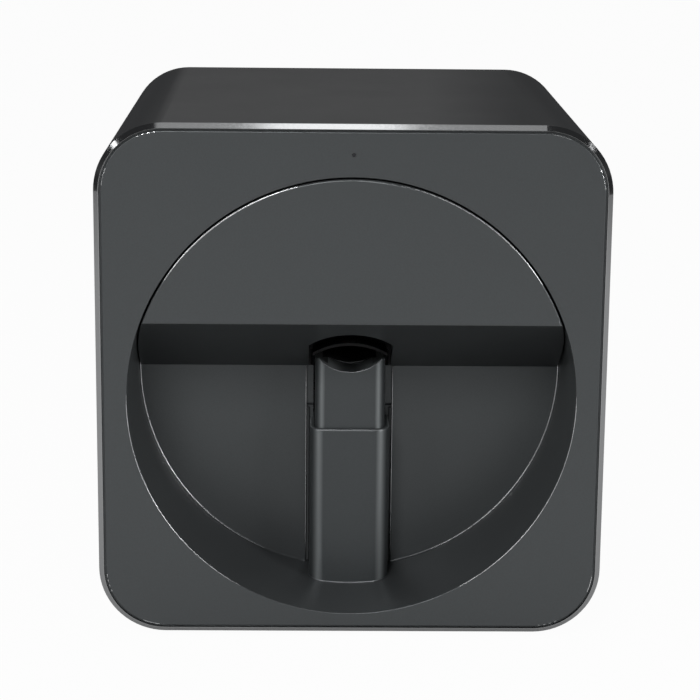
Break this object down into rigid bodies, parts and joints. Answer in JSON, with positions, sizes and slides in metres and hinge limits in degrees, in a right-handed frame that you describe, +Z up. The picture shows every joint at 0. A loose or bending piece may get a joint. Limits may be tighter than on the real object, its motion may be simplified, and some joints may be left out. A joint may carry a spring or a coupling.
{
  "type": "digital nail art printer",
  "caption": "Desktop nail art printer: rounded box with chrome front trim, round hand recess, pull-off hood and sprung finger rest under an ink carriage.",
  "frame": {"origin": "on the table, under the middle of the casing", "axes": "+Z up, front faces -Y, +X to the right seen from the front"},
  "size_m": [0.216, 0.216, 0.224],
  "materials": {
    "shell": "satin black",
    "chrome": "polished plated trim",
    "fascia": "satin dark grey",
    "black": "matt black",
    "steel": "plain",
    "sheet": "zinc plated sheet",
    "brass": "plain",
    "rubber": "matt",
    "board": "circuit board",
    "chips": "moulded",
    "lens": "dark lens",
    "light": "milky diffuser",
    "mechanism": "moulded"
  },
  "bodies": {
    "root": {"outer_shell": "shell", "front_bezel": "chrome", "front_fascia": "fascia", "status_light_pipe": "lens", "recess_bowl": "fascia", "recess_screws": "steel", "hood_catches": "steel", "rubber_feet": "rubber", "rear_cover": "shell", "rear_cover_screws": "steel", "grip_sleeve": "fascia", "lift_spring": "steel", "lift_guide": "mechanism", "guide_rods": "steel", "finger_limit_arch": "black", "light_bar": "light", "base_plate": "sheet", "side_frames": "sheet", "front_crossbar": "sheet", "rear_crossbar": "sheet", "chassis_screws": "steel", "mid_deck": "sheet", "capping_station": "mechanism", "nozzle_cap": "rubber", "y_rails": "steel", "rail_supports": "mechanism", "y_motor": "steel", "camera_bracket": "sheet", "camera_module": "board", "camera_lens": "lens", "main_board": "board", "main_board_components": "chips", "power_board": "board", "power_board_components": "chips", "board_standoffs": "brass", "dc_inlet": "black", "usb_port": "steel", "switch_housing": "black", "fan_frame": "black"},
    "hood": {"hood": "fascia", "hood_magnets": "steel"},
    "finger_lift": {"finger_rest": "fascia", "finger_pad": "rubber", "lift_carrier": "mechanism"},
    "y_stage": {"gantry_frame": "mechanism", "y_bushings": "brass", "lead_nut": "brass", "x_rods": "steel", "x_motor": "steel", "x_belt": "rubber"},
    "lead_screw": {"lead_screw": "steel"},
    "carriage": {"carriage_frame": "mechanism", "carriage_bushings": "brass", "ink_cartridge": "black"},
    "latch": {"cartridge_latch": "fascia"},
    "drive_pulley": {"x_drive_pulley": "mechanism"},
    "idler_pulley": {"x_idler_pulley": "mechanism"},
    "fan": {"fan_rotor": "black"},
    "rocker": {"power_rocker": "black"}
  },
  "joints": [
    {"name": "finger_rest_press", "type": "slide", "parent": "root", "child": "finger_lift", "axis": [0, 0, 1], "range_m": [-0.011, 0], "stiffness_N_per_m": 250, "springref_m": 0.012, "deforming": ["lift_spring"]},
    {"name": "hood_pull", "type": "slide", "parent": "root", "child": "hood", "axis": [0, -1, 0], "range_m": [0, 0.08]},
    {"name": "y_travel", "type": "slide", "parent": "root", "child": "y_stage", "axis": [0, -1, 0], "range_m": [0, 0.036]},
    {"name": "screw_turn", "type": "hinge", "parent": "root", "child": "lead_screw", "pos_m": [0.05, 0.012, 0.197], "axis": [0, 1, 0], "range_deg": [0, 360]},
    {"name": "x_travel", "type": "slide", "parent": "y_stage", "child": "carriage", "axis": [1, 0, 0], "range_m": [-0.022, 0.022]},
    {"name": "drive_turn", "type": "hinge", "parent": "y_stage", "child": "drive_pulley", "pos_m": [0.041, 0.067, 0.168], "axis": [0, 1, 0], "range_deg": [-253, 253]},
    {"name": "idler_turn", "type": "hinge", "parent": "y_stage", "child": "idler_pulley", "pos_m": [-0.041, 0.067, 0.168], "axis": [0, 1, 0], "range_deg": [-253, 253]},
    {"name": "latch_open", "type": "hinge", "parent": "carriage", "child": "latch", "pos_m": [0, 0.052, 0.1902], "axis": [-1, 0, 0], "range_deg": [0, 70]},
    {"name": "fan_spin", "type": "hinge", "parent": "root", "child": "fan", "pos_m": [-0.048, 0.097, 0.061], "axis": [0, 1, 0], "continuous": true},
    {"name": "rocker_tilt", "type": "hinge", "parent": "root", "child": "rocker", "pos_m": [0.056, 0.101, 0.063], "axis": [1, 0, 0], "range_deg": [-20, 0]}
  ],
  "couplings": [
    {"joint": "screw_turn", "follows": "y_travel", "rad_per_m": 174.53},
    {"joint": "drive_turn", "follows": "x_travel", "rad_per_m": -200},
    {"joint": "idler_turn", "follows": "x_travel", "rad_per_m": -200}
  ]
}
